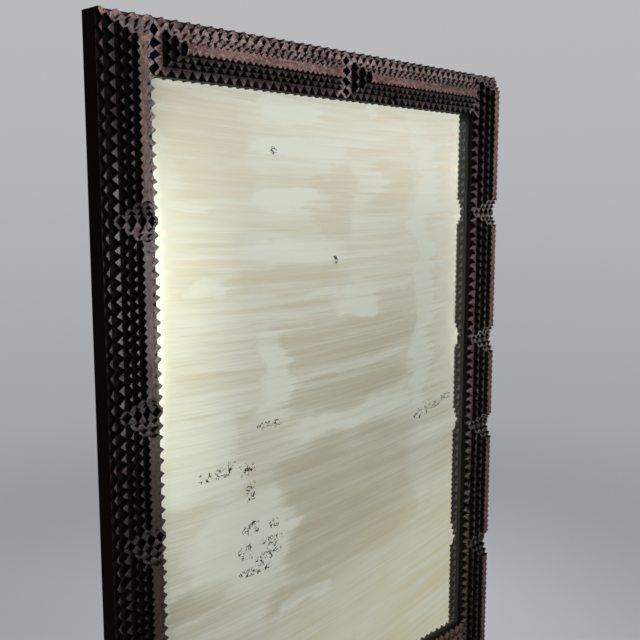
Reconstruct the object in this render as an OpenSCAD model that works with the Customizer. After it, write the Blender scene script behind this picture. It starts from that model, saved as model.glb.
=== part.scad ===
// Wall mirror in a notch-carved, layered wooden frame, in millimetres, +Z up.
// The front faces -Y and the back lies on the wall plane y = 0.
// The origin is the middle of the top base board's back face.

/* [Overall] */
// Clear width of the mirror, between the inner tooth tips
sight_w = 460; // [250:1:800]
// Clear height of the mirror, between the inner tooth tips
sight_h = 634; // [570:1:1100]
// Width of a stepped block at its ground layer, tip to tip
block_w = 42.5; // [40:0.5:70]
// How far the edge strips stand out beyond the blocks
edge_lip = 4.6; // [1:0.1:10]

/* [Layers] */
// Thickness of the plain base boards
base_t = 18; // [14:0.5:25]
// Thickness of every notched layer, as thin cigar-box wood has
layer_t = 5; // [3:0.1:8]
// Tread that the ground layer shows along a block's long edges
first_step = 6.8; // [4:0.1:8]
// Tread that each layer above it shows along the long edges
upper_step = 4.4; // [3:0.1:5.4]
// Ground tread at the ends of the side blocks
side_first_step = 5.2; // [3:0.1:9]
// Upper treads at the ends of the side blocks
side_upper_step = 4.7; // [3:0.1:8]
// Ground tread at the ends of the rail blocks
rail_first_step = 9.8; // [3:0.1:14]
// Upper treads at the ends of the rail blocks
rail_upper_step = 5.3; // [3:0.1:9]
// Gap between the ground layers of neighbouring blocks
block_gap = 0.2; // [0.1:0.1:3]

/* [Side blocks] */
// Lengths of the left side's blocks from the top, the fifth taking the rest
left_runs = [158, 158, 109, 146]; // [60:1:190]
// Lengths of the right side's blocks from the top, the fifth taking the rest
right_runs = [157, 153, 108, 153]; // [60:1:190]

/* [Notches] */
// Distance between notches on the edge strips
edge_pitch = 12.5; // [6:0.5:20]
// Distance between notches on each block layer, from the ground layer up
layer_pitch = [10.5, 9.5, 8.5, 6.5]; // [4:0.5:12]
// Notch depth on the edge strips as a share of their pitch
edge_depth = 0.38; // [0.2:0.01:0.5]
// Notch depth on each block layer as a share of its pitch, from the ground layer up
layer_depth = [0.66, 0.53, 0.56, 0.42]; // [0.2:0.01:0.66]
// Flat left on the tip of a tooth as a share of the pitch
tooth_flat = 0.08; // [0.04:0.01:0.3]
// Plain stretch at each corner as a share of the pitch
corner_plain = 0.15; // [0.1:0.01:0.5]
// How far a hand-cut tooth strays along the edge, as a share of the pitch
place_stray = 0.13; // [0:0.01:0.25]
// How much blunter or sharper than the others a hand-cut tooth may be
flat_stray = 0.5; // [0:0.05:0.8]
// How much shallower than its full depth a hand-cut notch may be
depth_stray = 0.1; // [0:0.01:0.4]
// How deep the first and last notch of an edge are cut, against the others, so that corners stay strong
corner_ease = 0.75; // [0.5:0.05:1]
// How far an upper layer may be set off centre by hand
layer_stray = 0.5; // [0:0.1:1]

/* [Glass and back] */
// How far the base boards' inner edges lie back from the inner tooth tips
rebate = 9; // [7:0.5:14]
// How far the edge strips' inner edges, the lip over the glass, lie back from them
lip_back = 0.3; // [0:0.1:5]
// Room left around the glass and the back planks
pane_room = 1; // [0.5:0.1:3]
// Thickness of the mirror glass
glass_t = 3; // [2:0.1:4]
// Thickness of the back planks
plank_t = 6; // [4:0.5:9]
// Number of back planks
planks = 3; // [2:1:5]
// Gap between back planks
plank_gap = 0.6; // [0.2:0.1:3]

/* [Fasteners] */
// Shank diameter of the brads
brad_d = 1.4; // [1:0.1:2]
// Head diameter of the brads in the caps
brad_head_d = 2.6; // [2:0.1:4]
// Head thickness of the brads in the caps
brad_head_t = 0.5; // [0.3:0.1:1]
// How deep a brad's head is set below the cap's face
brad_set = 0.2; // [0.1:0.1:1]
// Length of the brads in the caps
brad_len = 28; // [22:0.5:36]
// Distance of a brad from the end of its cap
brad_in = 9; // [5:0.5:20]
// Length of the headless brads that hold the back
back_brad_len = 16; // [10:1:24]
// Part of a back brad that is driven into the board
back_brad_hold = 8; // [4:1:12]
// Number of back brads along each side board
side_back_brads = 3; // [2:1:6]
// Number of back brads along each of the top and bottom boards
rail_back_brads = 2; // [1:1:4]

/* [Hanging] */
// Diameter of the blind hole that takes a wall pin
hang_d = 8; // [5:0.5:12]
// Depth of the hanging hole
hang_depth = 12; // [6:0.5:14]
// Distance of the hanging holes below the top edge
hang_drop = 80; // [55:1:200]

/* [Colours] */
// Near-black stain on the boards and steps
step_colour = [0.13, 0.09, 0.08];
// Worn red-brown of the caps
cap_colour = [0.33, 0.19, 0.15];
// Bare softwood of the back
plank_colour = [0.62, 0.47, 0.31];
// Aged silvering
mirror_colour = [0.88, 0.87, 0.79];
// Dark iron
iron_colour = [0.22, 0.21, 0.20];

/* [Hidden] */
$fn = 24;
eps = 0.01;
whole_w = sight_w + 2 * (block_w + edge_lip);
whole_h = sight_h + 2 * (block_w + edge_lip);
board_w = block_w + edge_lip - rebate;
strip_w = block_w + edge_lip - lip_back;
hole_w = whole_w - 2 * board_w;
hole_h = whole_h - 2 * board_w;
lap_t = base_t / 2;
blocks_y = base_t + layer_t;
front_y = blocks_y + 4 * layer_t;
glass_y = base_t - glass_t;
plank_y = glass_y - plank_t;
mount_z = whole_h / 2 - board_w / 2;
strip_seed = 900;
layer_seed_step = 15;
block_seed_step = 4 * layer_seed_step;

// Sum of the first n entries of a list
function sum_to(list, n) = n == 0 ? 0 : list[n - 1] + sum_to(list, n - 1);

// Five block lengths for one side, the last one taking the rest of the height
function five(runs) = concat(runs, [sight_h + 2 * block_w - sum_to(runs, 4)]);

// Block as [centre, ground size, ground tread and upper treads along x and z, direction of its length]
function side_block(hand, runs, b) =
    let (z_top = sight_h / 2 + block_w - sum_to(runs, b))
    [[hand * (sight_w + block_w) / 2, z_top - runs[b] / 2], [block_w, runs[b] - block_gap],
     [first_step, side_first_step], [upper_step, side_upper_step], [0, 1]];
function rail_block(hand, half) =
    [[half * sight_w / 4, hand * (sight_h + block_w) / 2], [sight_w / 2 - block_gap, block_w],
     [rail_first_step, first_step], [rail_upper_step, upper_step], [1, 0]];
left_blocks = [for (b = [0:4]) side_block(-1, five(left_runs), b)];
right_blocks = [for (b = [0:4]) side_block(1, five(right_runs), b)];
top_blocks = [for (half = [-1, 1]) rail_block(1, half)];
bottom_blocks = [for (half = [-1, 1]) rail_block(-1, half)];
blocks = concat(left_blocks, right_blocks, top_blocks, bottom_blocks);

// Size of a block's layer k, where layer 0 is the ground layer and layer 3 the cap
function layer_size(block, k) =
    k == 0 ? block[1] : block[1] - 2 * (block[2] + (k - 1) * block[3]);

// The two brads of a block, near the ends of its cap
function brad_spots(block) =
    let (reach = (layer_size(block, 3) * block[4]) / 2 - brad_in)
    [for (end = [-1, 1]) block[0] + end * reach * block[4]];
all_brads = [for (block = blocks) each brad_spots(block)];

// Places of the back brads along a board's inner face, spread evenly
function spread(n, run) = [for (i = [0:n - 1]) ((i + 0.5) / n - 0.5) * run];

// One hand-notched edge from point a towards point b, without point b itself
function notched_edge(a, b, inward, pitch, depth, seed) =
    let (run = norm(b - a),
         along = (b - a) / run,
         plain = corner_plain * pitch,
         n = max(1, round((run - 2 * plain) / pitch)),
         cell = (run - 2 * plain) / n,
         stray = concat(0, rands(-place_stray, place_stray, n - 1, seed), 0),
         tips = [for (i = [0:n]) plain + (i + stray[i]) * cell],
         blunt = rands(1 - flat_stray, 1 + flat_stray, n + 1, seed + 1),
         half_flat = [for (i = [0:n]) blunt[i] * tooth_flat * pitch / 2],
         shallow = rands(0, depth_stray, n, seed + 2))
    concat([a], [for (i = [0:n - 1])
        let (from = tips[i] + half_flat[i],
             to = tips[i + 1] - half_flat[i + 1],
             ease = i == 0 || i == n - 1 ? corner_ease : 1,
             deep = ease * depth * pitch * (1 - shallow[i]))
        each [a + along * from, a + along * (from + to) / 2 + inward * deep, a + along * to]]);

// Outline of a rectangle whose bottom, right, top and left edges are notched where cut says so
function outline(size, pitch, depth, seed, cut = [true, true, true, true]) =
    let (w = size[0] / 2,
         h = size[1] / 2,
         corner = [[-w, -h], [w, -h], [w, h], [-w, h]],
         inward = [[0, 1], [-1, 0], [0, -1], [1, 0]])
    [for (e = [0:3])
        each cut[e] ? notched_edge(corner[e], corner[(e + 1) % 4], inward[e], pitch, depth, seed + 3 * e)
                    : [corner[e]]];

side_names = ["left", "right"];
rail_names = ["top", "bottom"];
layer_names = ["step_1", "step_2", "step_3", "cap"];
function side_node(s, b, k) = str(side_names[s], "_block_", b + 1, "_", layer_names[k]);
function rail_node(r, k) = str(rail_names[r], "_blocks_", layer_names[k]);

// Moves a piece from the frame's middle to the origin at the top board
module in_place() {
    translate([0, 0, -mount_z])
        children();
}

// A flat piece of thickness t whose back lies y in front of the wall
module plate(y, t) {
    translate([0, -y, 0])
        rotate([90, 0, 0])
            linear_extrude(t)
                children();
}

// Round rods of diameter d along Y at the given spots, from depth y_back to depth y_front
module rods(spots, d, y_back, y_front) {
    for (spot = spots)
        translate([spot[0], -y_back, spot[1]])
            rotate([90, 0, 0])
                cylinder(d = d, h = y_front - y_back);
}

// Holes for the cap brads that pass between two depths
module brad_holes(spots, y_back, y_front) {
    rods(spots, brad_d, max(y_back - eps, front_y - brad_set - brad_len), y_front + eps);
}

// The headless brads of one side board and one rail board, hand being -1 or 1
module side_back_rods(hand) {
    for (z = spread(side_back_brads, hole_h))
        translate([hand * (hole_w / 2 + back_brad_hold), -plank_y + brad_d / 2, z])
            rotate([0, -hand * 90, 0])
                cylinder(d = brad_d, h = back_brad_len);
}

module rail_back_rods(hand) {
    for (x = spread(rail_back_brads, hole_w))
        translate([x, -plank_y + brad_d / 2, hand * (hole_h / 2 + back_brad_hold)])
            rotate([hand > 0 ? 180 : 0, 0, 0])
                cylinder(d = brad_d, h = back_brad_len);
}

// Side base board: its ends keep the front half of the lap, and a blind hole takes a wall pin
module base_side(hand) {
    x_mid = hand * (whole_w - board_w) / 2;
    color(step_colour)
        in_place()
            difference() {
                translate([x_mid, 0, 0])
                    plate(0, base_t)
                        square([board_w, whole_h], center = true);
                for (end = [-1, 1])
                    translate([x_mid, 0, end * (whole_h - board_w) / 2])
                        plate(-eps, lap_t + eps)
                            square([board_w + 2 * eps, board_w + 2 * eps], center = true);
                rods([[x_mid, whole_h / 2 - hang_drop]], hang_d, -eps, hang_depth);
                brad_holes(all_brads, 0, base_t);
                side_back_rods(hand);
            }
}

// Top or bottom base board: its ends keep the back half of the lap
module base_rail(hand) {
    z_mid = hand * (whole_h - board_w) / 2;
    color(step_colour)
        in_place()
            difference() {
                translate([0, 0, z_mid])
                    plate(0, base_t)
                        square([whole_w, board_w], center = true);
                for (end = [-1, 1])
                    translate([end * (whole_w - board_w) / 2, 0, z_mid])
                        plate(lap_t, lap_t + eps)
                            square([board_w + 2 * eps, board_w + 2 * eps], center = true);
                brad_holes(all_brads, lap_t, base_t);
                rail_back_rods(hand);
            }
}

// Side edge strip: the full height, notched on its outer edge and both ends
module edge_side(hand) {
    color(step_colour)
        in_place()
            difference() {
                translate([hand * (whole_w - strip_w) / 2, 0, 0])
                    plate(base_t, layer_t)
                        polygon(outline([strip_w, whole_h], edge_pitch, edge_depth,
                                        strip_seed + hand * layer_seed_step,
                                        [true, hand > 0, true, hand < 0]));
                brad_holes(all_brads, base_t, blocks_y);
            }
}

// Top or bottom edge strip: between the side strips, notched on its outer edge
module edge_rail(hand) {
    color(step_colour)
        in_place()
            difference() {
                translate([0, 0, hand * (whole_h - strip_w) / 2])
                    plate(base_t, layer_t)
                        polygon(outline([whole_w - 2 * strip_w, strip_w], edge_pitch, edge_depth,
                                        strip_seed + hand * 2 * layer_seed_step,
                                        [hand < 0, false, hand > 0, false]));
                brad_holes(all_brads, base_t, blocks_y);
            }
}

// One layer of one stepped block, notched on all four edges and drilled for its brads
module block_layer(i, k) {
    block = blocks[i];
    seed = i * block_seed_step + k * layer_seed_step;
    stray = k == 0 ? [0, 0] : rands(-layer_stray, layer_stray, 2, seed + layer_seed_step - 1);
    y = blocks_y + k * layer_t;
    spot = block[0] + stray;
    color(k == 3 ? cap_colour : step_colour)
        in_place()
            difference() {
                translate([spot[0], 0, spot[1]])
                    plate(y, layer_t)
                        polygon(outline(layer_size(block, k), layer_pitch[k], layer_depth[k], seed));
                brad_holes(brad_spots(block), y, y + layer_t);
                if (k == 3)
                    rods(brad_spots(block), brad_head_d,
                         front_y - brad_set - brad_head_t, front_y + eps);
            }
}

// One layer of both blocks on the top or the bottom rail
module rail_layers(r, k) {
    for (half = [0:1])
        block_layer(10 + 2 * r + half, k);
}

// Old mirror pane, behind the edge strips' lip and inside the base boards
module mirror_glass() {
    color(mirror_colour)
        in_place()
            plate(glass_y, glass_t)
                square([hole_w - 2 * pane_room, hole_h - 2 * pane_room], center = true);
}

// Thin softwood planks that close the back behind the glass
module backboard_planks() {
    pitch = (hole_w - 2 * pane_room + plank_gap) / planks;
    color(plank_colour)
        in_place()
            for (x = spread(planks, pitch * planks))
                translate([x, 0, 0])
                    plate(plank_y, plank_t)
                        square([pitch - plank_gap, hole_h - 2 * pane_room], center = true);
}

// Headed brads that pin the four layers of every block to the frame
module cap_brads() {
    head_y = front_y - brad_set;
    color(iron_colour)
        in_place() {
            rods(all_brads, brad_d, head_y - brad_len, head_y - brad_head_t / 2);
            rods(all_brads, brad_head_d, head_y - brad_head_t, head_y);
        }
}

// Headless brads driven into the boards to keep the planks in
module back_brads() {
    color(iron_colour)
        in_place()
            for (hand = [-1, 1]) {
                side_back_rods(hand);
                rail_back_rods(hand);
            }
}

base_side(-1);  // base_left
base_side(1);  // base_right
base_rail(1);  // base_top
base_rail(-1);  // base_bottom
edge_side(-1);  // edge_left
edge_side(1);  // edge_right
edge_rail(1);  // edge_top
edge_rail(-1);  // edge_bottom
for (s = [0:1]) for (b = [0:4]) for (k = [0:3])
    block_layer(5 * s + b, k);
for (r = [0:1]) for (k = [0:3])
    rail_layers(r, k);
mirror_glass();
backboard_planks();
cap_brads();
back_brads();
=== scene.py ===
from math import radians

import bpy
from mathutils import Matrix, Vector
from mathutils.kdtree import KDTree


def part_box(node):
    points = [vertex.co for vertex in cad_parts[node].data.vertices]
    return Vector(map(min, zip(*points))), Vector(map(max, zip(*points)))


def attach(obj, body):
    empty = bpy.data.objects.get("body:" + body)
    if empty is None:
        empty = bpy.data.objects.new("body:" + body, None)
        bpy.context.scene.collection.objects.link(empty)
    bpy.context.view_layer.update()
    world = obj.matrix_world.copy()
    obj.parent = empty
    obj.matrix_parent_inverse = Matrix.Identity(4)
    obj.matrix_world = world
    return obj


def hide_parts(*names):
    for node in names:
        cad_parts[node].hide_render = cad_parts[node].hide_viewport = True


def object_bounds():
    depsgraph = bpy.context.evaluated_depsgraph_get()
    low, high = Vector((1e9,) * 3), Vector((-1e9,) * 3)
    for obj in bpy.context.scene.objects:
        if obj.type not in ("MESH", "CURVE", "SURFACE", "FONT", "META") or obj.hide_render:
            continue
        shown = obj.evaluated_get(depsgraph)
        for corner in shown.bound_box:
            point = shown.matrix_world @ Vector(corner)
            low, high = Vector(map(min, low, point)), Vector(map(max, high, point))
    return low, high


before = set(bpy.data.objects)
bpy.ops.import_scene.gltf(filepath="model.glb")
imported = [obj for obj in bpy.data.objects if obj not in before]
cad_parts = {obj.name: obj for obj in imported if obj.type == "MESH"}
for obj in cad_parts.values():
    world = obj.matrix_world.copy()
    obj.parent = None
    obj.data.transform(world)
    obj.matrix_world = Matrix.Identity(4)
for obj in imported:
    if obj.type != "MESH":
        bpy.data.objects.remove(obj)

cad_low, cad_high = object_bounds()

# Base frame: four plain softwood boards, half-lapped at the corners and bare at the back.
# Their fronts and outer edges are stained nearly black, and their corners are rubbed round,
# so each board shown is a copy of its solid with softened corners.
MM = 0.001
WELD = 0.05 * MM  # corners closer than this are one
BOARD_WEAR = 0.3 * MM  # how much of each corner is rubbed away
HOLE_RIM = 1.0 * MM  # an edge as near as this to a nail is the rim of its hole
BEHIND_ALL = 1.0 * MM  # just behind the back of the mirror, which lies at 0
SHARP = radians(35)
FLAT = radians(1)
FACING = 0.7  # a side faces an axis if its normal has this much along it
FACE, CUT, CORNER, BARE = 0, 1, 2, 3  # order of the finishes on a board
ACROSS, BACK, UP = 0, 1, 2
BRADS = ("cap_brads", "back_brads")
GRAIN_UPRIGHT = (170.0, 170.0, 7.0)  # changes of the grain in a metre across, back and up
GRAIN_LEVEL = (7.0, 170.0, 170.0)
RUB_AND_LIGHT_HEIGHTS = (-0.60, 0.0)  # heights in metres between which rubbing and dust grow, partly as painted light on the upper parts
CORNER_RUB = (-0.62, 0.03)
SHADE_FADE = (-0.42, -0.22)  # heights between which the painted shade of the lower part ends
LOW_SHADE = 0.72
BOARD_SHEEN = 0.08
CHIP_REACH = 3.0 * MM
CHIP_EVERY = (500.0, 500.0, 500.0)


class Wire:
    """One shader value: arithmetic adds Math nodes, and node() adds any other kind."""

    def __init__(self, tree, socket=None):
        self.tree = tree
        self.socket = socket

    def node(self, kind, settings, sockets, out=0):
        made = self.tree.nodes.new("ShaderNode" + kind)
        for key, value in settings.items():
            setattr(made, key, value)
        for key, value in sockets.items():
            if isinstance(value, Wire):
                self.tree.links.new(value.socket, made.inputs[key])
            else:
                made.inputs[key].default_value = value
        return Wire(self.tree, made.outputs[out])

    def math(self, operation, first, second):
        return self.node("Math", {"operation": operation}, {0: first, 1: second})

    def __add__(self, other):
        return self.math("ADD", self, other)

    __radd__ = __add__

    def __sub__(self, other):
        return self.math("SUBTRACT", self, other)

    def __rsub__(self, other):
        return self.math("SUBTRACT", other, self)

    def __mul__(self, other):
        return self.math("MULTIPLY", self, other)

    __rmul__ = __mul__

    def __truediv__(self, other):
        return self.math("DIVIDE", self, other)

    def __rtruediv__(self, other):
        return self.math("DIVIDE", other, self)

    def larger(self, other):
        """The larger of this value and another."""
        return self.math("MAXIMUM", self, other)

    def step(self, low, high):
        """0 below low, 1 above high and a smooth rise between them."""
        sockets = {"Value": self, "From Min": low, "From Max": high}
        return self.node("MapRange", {"interpolation_type": "SMOOTHSTEP"}, sockets)

    def between(self, rise, full, fade, gone):
        """0 below rise, 1 from full to fade, 0 again above gone, and smooth between them."""
        return self.step(rise, full) * (1.0 - self.step(fade, gone))

    def blend(self, low, high):
        """The colour low where this value is 0, and high where it is 1."""
        return self.node("Mix", {"data_type": "RGBA"}, {0: self, 6: low, 7: high}, 2)

    def stretched(self, per_metre):
        """This place, with each axis multiplied to set how long a pattern runs along it."""
        return self.node("VectorMath", {"operation": "MULTIPLY"}, {0: self, 1: per_metre})

    def noise(self, detail, roughness, distortion=0.0):
        sockets = {"Vector": self, "Scale": 1.0, "Detail": detail,
                   "Roughness": roughness, "Distortion": distortion}
        return self.node("TexNoise", {}, sockets)

    def along(self, axis):
        """One coordinate of this place."""
        return self.node("SeparateXYZ", {}, {0: self}, axis)


def colour(red, green, blue):
    return (red, green, blue, 1.0)


def new_material(name):
    """A material, its shader, and the place on the surface to grow the other nodes from."""
    material = bpy.data.materials.new(name)
    material.use_nodes = True
    tree = material.node_tree
    place = Wire(tree).node("TexCoord", {}, {}, "Object")
    return material, tree.nodes["Principled BSDF"], place


def feed(shader, socket, wire):
    wire.tree.links.new(wire.socket, shader.inputs[socket])


def feed_bump(shader, relief, strength, depth):
    sockets = {"Height": relief, "Strength": strength, "Distance": depth}
    feed(shader, "Normal", relief.node("Bump", {}, sockets))


def chipped(wood, place, spots):
    """Shows pale bare wood where a chip is off, at spots given in millimetres across and up."""
    ragged = place.stretched(CHIP_EVERY).noise(3.0, 0.6)
    for across, up in spots:
        x = (place.along(ACROSS) - across * MM) * (1 / CHIP_REACH)
        z = (place.along(UP) - up * MM) * (1 / CHIP_REACH)
        chip = 1.0 - (x * x + z * z + (ragged - 0.5) * 2.0).step(0.7, 1.0)
        wood = chip.blend(wood, CHIP_PALE)
    return wood


def stained_face(name, grain, deep, stain, rubbed, dust, shellac, painted_shade, chips=()):
    """A stained front: grain, scuffs, dust, pores, chips and the last of its shellac, with painted
    light high up and painted shade low down.
    """
    material, shader, place = new_material(name)
    lines = place.stretched(grain).noise(6.0, 0.65, 0.6)
    pores = place.stretched(tuple(3.1 * g for g in grain)).noise(3.0, 0.6)
    blotch = place.stretched((16.0, 70.0, 16.0)).noise(4.0, 0.6)
    mottle = place.stretched(tuple(0.6 * g + 240.0 for g in grain)).noise(4.0, 0.7, 0.5)
    dents = place.stretched((75.0, 75.0, 75.0)).noise(2.0, 0.5)
    height = place.along(UP).step(*RUB_AND_LIGHT_HEIGHTS)
    # How unshaded the wood is: 1 high up and less low down; it sets the painted shade and thins the
    # shellac
    unshaded = 1.0 - (1.0 - place.along(UP).step(*SHADE_FADE)) * painted_shade
    wood = (lines * 0.7 + blotch * 0.6 - 0.35).step(0.0, 0.6).blend(deep, stain)
    # Rub and dust grow with height: partly wear, partly painted light that brightens the upper wood
    wood = ((1.0 - mottle.step(0.34, 0.50)) * (height * 0.5 + 0.35)).blend(wood, rubbed)
    wood = (blotch.step(0.34, 0.66) * (height * 0.5 + 0.1)).blend(wood, dust)
    wood = (mottle.step(0.50, 0.64) * 0.65).blend(wood, deep)
    wood = (pores.step(0.56, 0.68) * 0.5).blend(wood, deep)
    # Painted shade: the lower wood is blended towards the deep stain, as the light falls off
    # downwards
    wood = (1.0 - unshaded).blend(wood, deep)
    feed(shader, "Base Color", chipped(wood, place, chips) if chips else wood)
    feed(shader, "Roughness", 0.46 + (blotch - 0.5) * 0.3 + pores.step(0.55, 0.7) * 0.15)
    if shellac:
        feed(shader, "Coat Weight", (1.0 - blotch.step(0.40, 0.70)) * shellac * unshaded)
    shader.inputs["Coat Roughness"].default_value = 0.22
    shader.inputs["Specular IOR Level"].default_value = 0.2
    feed_bump(shader, dents * 2.5 + lines * 0.4 + pores * 0.3 + mottle * 0.7, 0.6, 0.6 * MM)
    return material


def knife_cut(name, tone, sheen):
    """The walls that the knife and saw leave: end grain of one tone with faint chatter."""
    material, shader, place = new_material(name)
    fibre = place.stretched((260.0, 900.0, 260.0)).noise(4.0, 0.65)
    soot = place.stretched((45.0, 45.0, 45.0)).noise(3.0, 0.6)
    pale = colour(*(2.2 * c for c in tone[:3]))
    wood = (fibre * 0.7 + soot * 0.6 - 0.3).step(0.2, 0.8).blend(tone, pale)
    feed(shader, "Base Color", wood)
    feed(shader, "Roughness", 0.48 + fibre * 0.2)
    feed_bump(shader, fibre, 0.3, 0.3 * MM)
    shader.inputs["Specular IOR Level"].default_value = sheen
    return material


def rubbed_corner(name, stain, rubbed):
    """A corner that handling has rubbed, in places through the stain to brown wood."""
    material, shader, place = new_material(name)
    rub = place.stretched((140.0, 140.0, 140.0)).noise(4.0, 0.7)
    height = place.along(UP).step(*CORNER_RUB)
    wood = (rub.step(0.42, 0.68) * (height * 0.7 + 0.3)).blend(stain, rubbed)
    feed(shader, "Base Color", wood)
    feed(shader, "Roughness", 0.42 + rub * 0.2)
    feed_bump(shader, rub, 0.25, 0.2 * MM)
    return material


def copy_of(node):
    """A copy of a solid, with its own welded mesh, left in edit mode with nothing selected."""
    bpy.ops.object.select_all(action="DESELECT")
    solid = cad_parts[node]
    solid.select_set(True)
    bpy.context.view_layer.objects.active = solid
    bpy.ops.object.duplicate()
    piece = bpy.context.active_object
    for key in list(piece.keys()):
        del piece[key]
    piece.name = node + "_worn"
    piece.data.materials.clear()
    bpy.ops.object.mode_set(mode="EDIT")
    bpy.ops.mesh.select_mode(type="EDGE")
    bpy.ops.mesh.select_all(action="SELECT")
    bpy.ops.mesh.remove_doubles(threshold=WELD)
    bpy.ops.mesh.dissolve_limited(angle_limit=FLAT)
    bpy.ops.mesh.select_all(action="DESELECT")
    return piece


nail_corners = []
for node in BRADS:
    nail_corners += [corner.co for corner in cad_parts[node].data.vertices]
nail_places = KDTree(len(nail_corners))
for number, corner in enumerate(nail_corners):
    nail_places.insert((corner.x, 0.0, corner.z), number)
nail_places.balance()


def at_nail(spot):
    """Whether a spot lies on the rim of a nail's hole."""
    nearest, number, distance = nail_places.find((spot.x, 0.0, spot.z))
    return distance < HOLE_RIM


def rub_sharp_corners(piece, wear, segments, deepest):
    """Rounds the sharp corners in front of deepest, except nail holes, and leaves edit mode."""
    bpy.ops.mesh.select_all(action="DESELECT")
    bpy.ops.mesh.edges_select_sharp(sharpness=SHARP)
    bpy.ops.object.mode_set(mode="OBJECT")
    mesh = piece.data
    for edge in mesh.edges:
        ends = [mesh.vertices[end].co for end in edge.vertices]
        in_reach = all(end.y < deepest for end in ends)
        on_rim = all(at_nail(end) for end in ends)
        edge.select = edge.select and in_reach and not on_rim
    bpy.ops.object.mode_set(mode="EDIT")
    bpy.ops.mesh.bevel(offset=wear, segments=segments, affect="EDGES", material=CORNER)
    bpy.ops.object.mode_set(mode="OBJECT")


def put_in_place(piece, node, finishes):
    """Gives a finished piece its materials, and lets it stand for its solid."""
    for finish in finishes:
        piece.data.materials.append(finish)
    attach(piece, "root")
    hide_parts(node)


def run_of(node):
    """The way a piece's grain runs: along a rail or up a side."""
    return GRAIN_LEVEL if "top" in node or "bottom" in node else GRAIN_UPRIGHT


BLACK_STAIN = colour(0.004, 0.003, 0.003)
BOARD_BLACK = colour(0.011, 0.008, 0.007)
BOARD_BROWN = colour(0.012, 0.008, 0.007)
BOARD_RUBBED = colour(0.050, 0.030, 0.025)
BOARD_DUST = colour(0.020, 0.016, 0.016)
CORNER_BROWN = colour(0.150, 0.085, 0.062)
CHIP_PALE = colour(0.165, 0.090, 0.068)
BARE_PALE = colour(0.300, 0.190, 0.105)
BARE_DARK = colour(0.130, 0.075, 0.040)

bare_back, shader, place = new_material("bare_board_back")
fibre = place.stretched((90.0, 90.0, 14.0)).noise(5.0, 0.65, 0.8)
stain = place.stretched((9.0, 9.0, 6.0)).noise(4.0, 0.6)
bare = (fibre * 0.8 + stain * 0.6 - 0.4).step(0.1, 0.7).blend(BARE_DARK, BARE_PALE)
feed(shader, "Base Color", bare)
feed(shader, "Roughness", 0.7 + fibre * 0.2)
feed_bump(shader, fibre, 0.4, 0.4 * MM)

board_cut = knife_cut("board_edge_stain", BOARD_BLACK, BOARD_SHEEN)
board_corner = rubbed_corner("board_rubbed_corner", BLACK_STAIN, CORNER_BROWN)
board_face = {
    grain: stained_face(name, grain, BLACK_STAIN, BOARD_BROWN, BOARD_RUBBED, BOARD_DUST,
                        shellac=0.2, painted_shade=LOW_SHADE)
    for name, grain in (("board_front_upright", GRAIN_UPRIGHT), ("board_front_level", GRAIN_LEVEL))
}
for node in ("base_left", "base_right", "base_top", "base_bottom"):
    board = copy_of(node)
    bpy.ops.object.mode_set(mode="OBJECT")
    for side in board.data.polygons:
        front_or_edge = FACE if side.normal.y < -FACING else CUT
        side.material_index = BARE if side.normal.y > FACING else front_or_edge
    bpy.ops.object.mode_set(mode="EDIT")
    rub_sharp_corners(board, BOARD_WEAR, segments=2, deepest=BEHIND_ALL)
    finishes = (board_face[run_of(node)], board_cut, board_corner, bare_back)
    put_in_place(board, node, finishes)

# Edge strips: thin cigar-box wood glued on the base boards, one on each board.
# Their outer edges are knife-cut into widely spaced teeth that stand out past the blocks,
# and they are black where the blocks lie on them, with a margin of painted shade beside the blocks'
# feet.
LAYER_WEAR = 0.15 * MM
STAIN_UNDER = 0.1 * MM  # how far a layer's stain runs under the piece that lies on it
FOOT_SHADE = 1.8 * MM  # width of the painted shade, black, along the foot of that piece
NOTCH_LIGHT = 2.2 * MM  # how far painted light from above reaches down into that piece's upper notches
END, LEDGE = 3, 4  # finishes that only some layers have, after the first three
LEDGE_TILT = 0.3  # a knife-cut wall that faces up more than this gets the pale ledge finish: dust and painted highlight
LAYER_SHEEN = 0.12
STRIP_RED = colour(0.145, 0.085, 0.076)
STRIP_RED_RUBBED = colour(0.390, 0.255, 0.230)
STRIP_RED_DUST = colour(0.150, 0.108, 0.103)
STRIP_BROWN = colour(0.075, 0.047, 0.043)
STRIP_DUST = colour(0.080, 0.062, 0.062)
STEP_DEEP = colour(0.010, 0.006, 0.006)
STEP_RUBBED = colour(0.270, 0.210, 0.203)
STRIP_CHIPS = ((-276, 17), (-275, 13), (-262, 18))


def laid_on(nodes, painted_shade):
    """Limits of what lies on a layer, for each half: left, right, lower and upper, widened sideways
    by painted shade and lowered at the top by painted light.
    """
    corners = [corner.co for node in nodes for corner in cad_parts[node].data.vertices]
    limits = []
    for half in ([c for c in corners if c.x < 0], [c for c in corners if c.x > 0]):
        if half:
            left = min(c.x for c in half) - painted_shade
            right = max(c.x for c in half) + painted_shade
            lower = min(c.z for c in half) + STAIN_UNDER
            # Painted light: the upper notches keep the front's colour as far down as light from
            # above would fill them
            upper = max(c.z for c in half) - NOTCH_LIGHT
            limits.append((left, right, lower, upper))
    return limits


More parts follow.
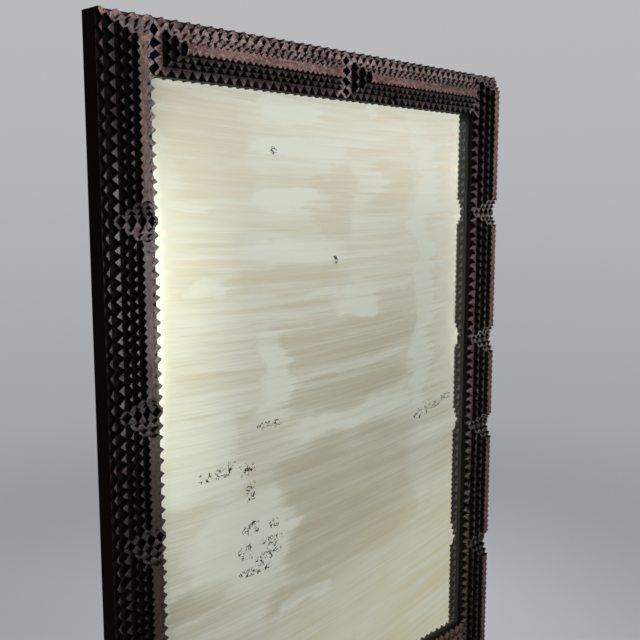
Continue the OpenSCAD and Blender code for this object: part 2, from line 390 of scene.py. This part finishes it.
def worn_layer(node, covers, finishes):
    """A copy of one notched layer: black under what lies on it and in the painted shade beside it,
    its front corners rubbed round.
    """
    layer = copy_of(node)
    for left, right, lower, upper in covers:
        for spot, way in (((left, 0, 0), (1, 0, 0)), ((right, 0, 0), (1, 0, 0)),
                          ((0, 0, lower), (0, 0, 1)), ((0, 0, upper), (0, 0, 1))):
            bpy.ops.mesh.select_all(action="SELECT")
            bpy.ops.mesh.bisect(plane_co=spot, plane_no=way)
    bpy.ops.object.mode_set(mode="OBJECT")
    mesh = layer.data
    front = min(corner.co.y for corner in mesh.vertices) + WELD
    for side in mesh.polygons:
        c = side.center
        beside = [(left, right) for left, right, lower, upper in covers if lower < c.z < upper]
        covered_or_shaded = any(left < c.x < right for left, right in beside)
        open_front = END if len(finishes) > END and not beside else FACE
        wall = LEDGE if len(finishes) > LEDGE and side.normal.z > LEDGE_TILT else CUT
        front_part = CUT if covered_or_shaded else open_front
        side.material_index = wall if abs(side.normal.y) < FACING else front_part
    bpy.ops.object.mode_set(mode="EDIT")
    rub_sharp_corners(layer, LAYER_WEAR, segments=1, deepest=front)
    put_in_place(layer, node, finishes)


layer_cut = knife_cut("layer_knife_cut", BLACK_STAIN, LAYER_SHEEN)
strip_corner = rubbed_corner("strip_rubbed_corner", STRIP_BROWN, CORNER_BROWN)
strip_face = {
    GRAIN_UPRIGHT: stained_face("strip_front_upright", GRAIN_UPRIGHT,
                                STEP_DEEP, STRIP_RED, STRIP_RED_RUBBED, STRIP_RED_DUST,
                                shellac=0.5, painted_shade=0.0, chips=STRIP_CHIPS),
    GRAIN_LEVEL: stained_face("strip_front_level", GRAIN_LEVEL,
                              STEP_DEEP, STRIP_BROWN, STEP_RUBBED, STRIP_DUST,
                              shellac=0.5, painted_shade=LOW_SHADE, chips=STRIP_CHIPS),
}
ground_layers = sorted(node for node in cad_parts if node.endswith("_step_1"))
# Black under the blocks, with a margin of painted shade beside their feet
blocks_on_strips = laid_on(ground_layers, FOOT_SHADE)
for node in ("edge_left", "edge_right", "edge_top", "edge_bottom"):
    finishes = (strip_face[run_of(node)], layer_cut, strip_corner)
    worn_layer(node, blocks_on_strips, finishes)

# Stepped blocks: each is four notched layers of thin wood, every one smaller than the last.
# The layers are glued in a stack and pinned through. Hands have rubbed the caps red-brown;
# painted shade blackens the feet of the steps, and some ledges show dust and painted highlight.
STEP_BROWN = colour(0.130, 0.094, 0.090)
STEP_DUST = colour(0.160, 0.128, 0.128)
STEP_RED = colour(0.165, 0.095, 0.085)
STEP_RED_RUBBED = colour(0.280, 0.180, 0.160)
RAIL_BROWN = colour(0.112, 0.076, 0.072)
RAIL_RUBBED = colour(0.215, 0.155, 0.147)
RAIL_DUST = colour(0.130, 0.098, 0.097)
GROUND_BROWN = colour(0.230, 0.145, 0.134)
END_BROWN = colour(0.085, 0.063, 0.061)
END_RUBBED = colour(0.190, 0.145, 0.140)
END_DUST = colour(0.115, 0.090, 0.090)
LEDGE_PALE = colour(0.105, 0.085, 0.078)
LEDGE_RED = colour(0.165, 0.100, 0.078)
LEDGE_SHEEN = 0.25
CAP_DEEP = colour(0.022, 0.012, 0.011)
CAP_DULL = colour(0.090, 0.054, 0.051)
CAP_DULL_RUBBED = colour(0.190, 0.120, 0.112)
CAP_DULL_DUST = colour(0.095, 0.072, 0.072)
CAP_BRIGHT = colour(0.220, 0.115, 0.100)
CAP_BRIGHT_RUBBED = colour(0.400, 0.220, 0.180)
CAP_BRIGHT_DUST = colour(0.220, 0.145, 0.135)
CAP_RED = colour(0.122, 0.066, 0.060)
CAP_RUBBED = colour(0.245, 0.134, 0.112)
CAP_DUST = colour(0.125, 0.084, 0.081)
CAP_CHIPS = ((-248, -3),)
NEXT_UP = {"step_1": "step_2", "step_2": "step_3", "step_3": "cap"}

# Pale up-facing walls: dust, and painted highlight where the light would catch them
step_ledge = knife_cut("dusty_ledge", LEDGE_PALE, LEDGE_SHEEN)
rail_ledge = knife_cut("dusty_rail_ledge", LEDGE_RED, LEDGE_SHEEN)
step_corner = rubbed_corner("step_rubbed_corner", STEP_BROWN, STEP_RUBBED)
step_face = {
    "left": stained_face("step_front_left", GRAIN_UPRIGHT, STEP_DEEP, STEP_BROWN,
                         STEP_RUBBED, STEP_DUST, shellac=1.0, painted_shade=LOW_SHADE),
    "right": stained_face("step_front_right", GRAIN_UPRIGHT, STEP_DEEP, STEP_RED,
                          STEP_RED_RUBBED, STEP_DUST, shellac=0.6, painted_shade=0.0),
    "top": stained_face("step_front_level", GRAIN_LEVEL, STEP_DEEP, RAIL_BROWN,
                        RAIL_RUBBED, RAIL_DUST, shellac=0.3, painted_shade=LOW_SHADE),
}
step_end = {
    "left": stained_face("step_end_left", GRAIN_UPRIGHT, STEP_DEEP, END_BROWN,
                         END_RUBBED, END_DUST, shellac=0.2, painted_shade=0.0),
    "right": stained_face("step_end_right", GRAIN_UPRIGHT, STEP_DEEP, STEP_BROWN,
                          STEP_RUBBED, STEP_DUST, shellac=0.5, painted_shade=0.0),
}
# Lighter than the rail layers over it, partly as painted light on its lower treads, which shade
# keeps dark
ground_face = stained_face("ground_front_level", GRAIN_LEVEL, STEP_DEEP, GROUND_BROWN,
                           STEP_RUBBED, STEP_DUST, shellac=0.1, painted_shade=LOW_SHADE)
cap_corner = rubbed_corner("cap_rubbed_corner", CAP_RED, CAP_RUBBED)
# The right caps are a lighter copy of the same cap wood: painted light on the side that is lit more
cap_face = {
    "left": stained_face("cap_front_left", GRAIN_UPRIGHT, CAP_DEEP, CAP_DULL, CAP_DULL_RUBBED,
                         CAP_DULL_DUST, shellac=0.5, painted_shade=LOW_SHADE, chips=CAP_CHIPS),
    "right": stained_face("cap_front_right", GRAIN_UPRIGHT, CAP_DEEP, CAP_BRIGHT,
                          CAP_BRIGHT_RUBBED, CAP_BRIGHT_DUST, shellac=0.0, painted_shade=0.0),
    "top": stained_face("cap_front_level", GRAIN_LEVEL, CAP_DEEP, CAP_RED,
                        CAP_RUBBED, CAP_DUST, shellac=0.2, painted_shade=LOW_SHADE),
}
for ground in ground_layers:
    block = ground.removesuffix("step_1")
    part = block.split("_")[0]
    look = "top" if part == "bottom" else part
    # A margin of painted shade along the feet of the layers, on all but the right side
    painted_shade = -STAIN_UNDER if part == "right" else FOOT_SHADE
    for layer, above in NEXT_UP.items():
        face = ground_face if look == "top" and layer == "step_1" else step_face[look]
        finishes = [face, layer_cut, step_corner, step_end.get(look, face)]
        if part == "right" and layer == "step_1":
            finishes.append(step_ledge)
        if part == "bottom":
            finishes.append(rail_ledge)
        worn_layer(block + layer, laid_on([block + above], painted_shade), finishes)
    worn_layer(block + "cap", [], (cap_face[look], layer_cut, cap_corner))

# Mirror: one pane of thin old glass behind the blocks' lip, silvered on its back.
# The silvering is filmed over with level brown streaks, except where it is still clean,
# and damp has eaten small black crow's-foot marks into it.
PANE_WEAR = 0.4 * MM
HALF_SIGHT = 0.23  # half the clear width in metres
UPPER_BEND = 0.15  # how much a stroke turns up towards both sides, near the top
LOWER_BEND = 0.18  # how much it turns up towards the right, near the bottom
HAZE = 0.10  # share of the silvering that no longer mirrors
SILVER_CLEAN = colour(0.63, 0.66, 0.58)
FILM_TAN = colour(0.572, 0.536, 0.425)
FILM_OLIVE = colour(0.442, 0.418, 0.315)
FILM_YELLOW = colour(0.60, 0.53, 0.32)
FOXED_BLACK = colour(0.012, 0.011, 0.010)
# Places on the pane in millimetres: left, right, upper and lower limit, sideways from its
# middle line and down from the upper sight edge, along the strokes that bend up to the right
CLEAN_PLACES = (
    (125, 165, 35, 345), (-110, -10, 90, 110), (-115, 15, 40, 60), (-120, 10, 135, 160),
    (-230, -135, 295, 370), (-190, -75, 380, 470), (-110, -70, 230, 310), (-110, -35, 5, 25),
    (40, 65, 0, 15), (-225, -170, 105, 115), (-190, -150, 170, 190), (0, 60, 190, 220),
    (-85, -20, 500, 515), (-70, 125, 320, 340),
)
HEAVY_PLACES = (
    (-75, 125, 345, 500), (-85, 120, 280, 315), (-80, 125, 220, 270), (-115, -10, 485, 510),
    (-30, 20, 60, 145), (60, 110, 60, 115), (-135, 20, 165, 190), (-210, -110, 70, 100),
    (-220, -120, 15, 70), (-225, -145, 450, 480),
)
FOXED_PLACES = (
    (-170, -140, 340, 350), (-140, -115, 345, 360), (-190, -145, 345, 355), (-130, -115, 365, 385),
    (-100, -85, 410, 420), (-135, -110, 405, 420), (-110, -80, 425, 440), (-140, -120, 425, 445),
    (-120, -80, 440, 450), (-140, -95, 450, 460), (-115, -80, 310, 320), (130, 160, 350, 365),
    (155, 185, 350, 360), (180, 205, 345, 355), (-95, -85, 50, 60), (-10, 0, 155, 165),
)


def places(limits, x, z, soft):
    """1 inside any of the listed places and 0 outside them, with soft round-cornered limits."""
    found = 0.0
    for left, right, upper, lower in limits:
        u = (x - (left + right) / 2 * MM) * (2 / ((right - left) * MM))
        v = (z - (upper + lower) / 2 * MM) * (2 / ((lower - upper) * MM))
        inside = 1.0 - (u * u * u * u + v * v * v * v).step(1.0 - soft, 1.0 + soft)
        found = inside.larger(found)
    return found


sight_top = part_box("top_blocks_step_1")[0].z
silvering, shader, place = new_material("foxed_silvering")
across = place.along(ACROSS)
down = sight_top - place.along(UP)
bend = down.step(0.1, 0.6)
from_left = across + HALF_SIGHT
rise = (1.0 - bend) * across * across * UPPER_BEND + bend * from_left * from_left * LOWER_BEND
level = down + rise
stroke = place.node("CombineXYZ", {}, {0: across, 2: level})
streak = stroke.stretched((7.0, 1.0, 180.0)).noise(5.0, 0.6, 0.3)
band = stroke.stretched((3.0, 1.0, 42.0)).noise(4.0, 0.55, 0.4)
drift = stroke.stretched((14.0, 1.0, 20.0)).noise(3.0, 0.5)
scratch = stroke.stretched((9.0, 1.0, 620.0)).noise(2.0, 0.5)
brushed_across = across + (streak - 0.5) * 0.05 + (drift - 0.5) * 0.10
brushed_level = level + (drift - 0.5) * 0.03
clean = places(CLEAN_PLACES, brushed_across, brushed_level, soft=0.95)
heavy = places(HEAVY_PLACES, brushed_across, brushed_level, soft=0.95)
calm = down.step(0.24, 0.46)
rubs = (streak - 0.5) * (1.4 - calm * 0.75) + (band - 0.5) * (0.9 - calm * 0.3)
rubs = rubs + (scratch - 0.5) * 0.5 + (drift - 0.5) * calm * 0.5
film = (0.45 + rubs + heavy * 0.32 - clean * 0.36).step(0.0, 1.0)
filmed = down.step(0.05, 0.36).blend(FILM_TAN, FILM_OLIVE)
filmed = (down + across * 0.5).step(0.44, 0.60).blend(filmed, FILM_YELLOW)
silver = film.blend(SILVER_CLEAN, filmed)
cell = place.stretched((260.0, 1.0, 260.0))
crack = cell.node("TexVoronoi", {"feature": "DISTANCE_TO_EDGE"}, {"Vector": cell, "Scale": 1.0})
speck = place.stretched((170.0, 1.0, 170.0)).noise(4.0, 0.7)
foxed = places(FOXED_PLACES, across, level, soft=0.9)
eaten = (speck + foxed * 0.24).step(0.72, 0.78) * (1.0 - crack.step(0.07, 0.15))
feed(shader, "Base Color", eaten.blend(silver, FOXED_BLACK))
feed(shader, "Metallic", (1.0 - HAZE) * (1.0 - eaten))
feed(shader, "Roughness", 0.03 + film * 0.06 + eaten * 0.5)

pane = copy_of("mirror_glass")
rub_sharp_corners(pane, PANE_WEAR, segments=2, deepest=BEHIND_ALL)
put_in_place(pane, "mirror_glass", (silvering, silvering, silvering))

# Back planks: three thin sawn softwood planks that close the back behind the glass.
# They are bare, browned by age, and held by headless brads in the base boards.
PLANK_WEAR = 0.5 * MM
PINE_PALE = colour(0.420, 0.280, 0.150)
PINE_DARK = colour(0.190, 0.105, 0.050)
old_pine, shader, place = new_material("old_pine")
rings = place.stretched((55.0, 20.0, 1.6)).noise(5.0, 0.6, 1.4)
fibre = place.stretched((420.0, 60.0, 9.0)).noise(4.0, 0.65)
stain = place.stretched((5.0, 5.0, 3.0)).noise(4.0, 0.6)
grown = (rings * 0.8 + fibre * 0.35 + stain * 0.5 - 0.4).step(0.15, 0.75)
feed(shader, "Base Color", grown.blend(PINE_DARK, PINE_PALE))
feed(shader, "Roughness", 0.68 + fibre * 0.2)
feed_bump(shader, fibre * 0.7 + rings * 0.4, 0.5, 0.5 * MM)
planks = copy_of("backboard_planks")
rub_sharp_corners(planks, PLANK_WEAR, segments=2, deepest=BEHIND_ALL)
put_in_place(planks, "backboard_planks", (old_pine, old_pine, old_pine))

# Brads: small dark iron nails, headed ones through the caps and headless ones at the back.
# The heads are punched just below the wood, and rust has browned them.
IRON_DARK = colour(0.030, 0.027, 0.026)
IRON_RUST = colour(0.110, 0.050, 0.028)
iron, shader, place = new_material("rusted_iron")
rust = place.stretched((900.0, 900.0, 900.0)).noise(4.0, 0.65).step(0.42, 0.68)
feed(shader, "Base Color", rust.blend(IRON_DARK, IRON_RUST))
feed(shader, "Metallic", 0.8 - rust * 0.7)
feed(shader, "Roughness", 0.45 + rust * 0.4)
for node in BRADS:
    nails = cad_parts[node]
    nails.data.materials.clear()
    nails.data.materials.append(iron)

# Studio: a pale floor under the frame, a main lamp high on the right, two weaker ones in
# front and one behind. The surroundings are pale and dimmer towards the floor, and lit panels
# at the right show only as gloss on the wood and at the left of the glass.
FLOOR_REACH = 1.6
FLOOR_FADE = (0.45 * FLOOR_REACH, 0.98 * FLOOR_REACH)
FLOOR_GAP = 1.0 * MM
FLOOR_GREY = colour(0.25, 0.255, 0.27)
FLOOR_SEEN = colour(0.29, 0.295, 0.313)
BLACK = colour(0.0, 0.0, 0.0)
LAMPS = (  # name, place, what it is aimed at, size in metres, watts and spread in degrees
    ("high_lamp", (0.60, -0.70, 0.75), (-0.35, 0.0, 0.35), 0.35, 12.3, 72),
    ("left_lamp", (-0.10, -0.55, 0.50), (0.27, 0.0, -0.40), 0.2, 0.22, 32),
    ("back_lamp", (0.95, 1.15, 0.10), (0.0, 0.0, -0.30), 0.6, 5.0, 48),
    ("front_lamp", (-0.15, -1.15, 0.45), (0.0, 0.0, -0.20), 0.8, 3.0, 180),
)
BACKDROP_HIGH = colour(0.490, 0.490, 0.502)
BACKDROP_LOW = colour(0.335, 0.342, 0.364)
GAP_DARK = colour(0.05, 0.05, 0.052)
SCREEN_LOW = colour(0.80, 0.80, 0.78)
SCREEN_HIGH = colour(1.01, 1.00, 0.98)
SCREEN_BRIGHT = colour(1.12, 1.09, 1.05)
PANEL_HAZE = colour(1.45, 1.44, 1.28)
PANEL_LIT = colour(5.50, 5.50, 5.35)
SIDE_PANEL = colour(12.0, 12.0, 11.6)
FILL_DIM = colour(0.01, 0.01, 0.011)
FILL_LIT = colour(0.05, 0.05, 0.05)

bpy.ops.object.select_all(action="DESELECT")
floor_spot = (0.0, 0.0, cad_low.z - FLOOR_GAP)
bpy.ops.mesh.primitive_circle_add(vertices=96, radius=FLOOR_REACH, fill_type="NGON",
                                  location=floor_spot)
floor = bpy.context.active_object
floor.name = "studio_floor"
floor_paint, shader, place = new_material("floor_paint")
shader.inputs["Base Color"].default_value = FLOOR_GREY
shader.inputs["Roughness"].default_value = 0.9
from_middle = place.node("VectorMath", {"operation": "LENGTH"}, {0: place}, "Value")
feed(shader, "Alpha", 1.0 - from_middle.step(*FLOOR_FADE))
seen = place.node("LightPath", {}, {}, "Is Camera Ray")
feed(shader, "Emission Color", seen.blend(BLACK, FLOOR_SEEN))
shader.inputs["Emission Strength"].default_value = 1.0
floor.data.materials.append(floor_paint)
floor.visible_glossy = False

for name, spot, aim, size, power, spread in LAMPS:
    bpy.ops.object.light_add(type="AREA", location=spot)
    lamp = bpy.context.active_object
    lamp.name = name
    lamp.data.size = size
    lamp.data.energy = power
    lamp.data.spread = radians(spread)
    lamp.visible_camera = False
    lamp.visible_glossy = False
    way_to_aim = Vector(aim) - Vector(spot)
    lamp.rotation_euler = way_to_aim.to_track_quat("-Z", "Y").to_euler()

world = bpy.data.worlds.new("studio_surround")
bpy.context.scene.world = world
world.use_nodes = True
way = Wire(world.node_tree).node("TexCoord", {}, {}, "Generated")
up = way.along(UP)
towards_right = way.along(ACROSS)
in_front = 0.0 - way.along(BACK)
forwards = in_front.larger(0.02)
# How far to the right and how far up a ray goes for each metre forwards
slant = towards_right / forwards
climb = up / forwards
# The glass and the gloss show pale screens, with dark gaps between and above them
screens = slant.between(0.70, 0.76, 1.52, 1.60) + (1.0 - slant.step(0.15, 0.30))
screens = screens * (1.0 - climb.step(0.165, 0.20) * slant.step(0.40, 0.60)) + climb.step(0.8, 1.2)
screens = screens * in_front.step(0.0, 0.2)
surround = up.step(-0.42, 0.12).blend(SCREEN_LOW, SCREEN_HIGH)
surround = (slant.step(0.95, 1.3) * climb.step(-0.05, 0.08)).blend(surround, SCREEN_BRIGHT)
surround = screens.blend(GAP_DARK, surround)
dim = slant.step(0.95, 1.35) * climb.between(-0.60, -0.35, -0.15, 0.08)
surround = (dim * 0.16).blend(surround, GAP_DARK)
# The lit panel with the haze round it, and the narrow panel at the side
near_panel = slant.step(0.2, 0.45)
haze = near_panel * up.between(-0.50, -0.10, -0.08, 0.12) * (1.0 - slant.step(0.74, 0.92))
panel_light = near_panel * up.between(-0.36, -0.16, -0.04, 0.10) * (1.0 - slant.step(0.70, 0.75))
side_light = slant.between(1.50, 1.52, 1.57, 1.60) * climb.between(-0.50, -0.30, 0.00, 0.20)
surround = haze.blend(surround, PANEL_HAZE)
surround = panel_light.blend(surround, PANEL_LIT)
surround = side_light.blend(surround, SIDE_PANEL)
fill = (towards_right * 0.6 + forwards * 0.6).step(-0.2, 0.8).blend(FILL_DIM, FILL_LIT)
glossy = way.node("LightPath", {}, {}, "Is Glossy Ray")
through = way.node("LightPath", {}, {}, "Is Transmission Ray")
around = glossy.larger(through).blend(fill, surround)
backdrop = up.step(-0.45, 0.22).blend(BACKDROP_LOW, BACKDROP_HIGH)
seen = way.node("LightPath", {}, {}, "Is Camera Ray")
feed(world.node_tree.nodes["Background"], "Color", seen.blend(around, backdrop))

# Camera: on the left of the frame and a little below its top, turned right and tipped down.
# Its place and its lens put the frame's edges where the photograph has them.
CAMERA_SPOT = (-0.668, -0.619, -0.1245)
CAMERA_TURN = -46.85
CAMERA_TIP = -7.9
LENS_MM = 49.7
SENSOR_MM = 36.0
bpy.ops.object.camera_add(location=CAMERA_SPOT)
camera = bpy.context.active_object
camera.rotation_euler = (radians(90 + CAMERA_TIP), 0, radians(CAMERA_TURN))
camera.data.sensor_width = SENSOR_MM
camera.data.lens = LENS_MM
bpy.context.scene.camera = camera
bpy.context.scene.view_settings.view_transform = "Standard"
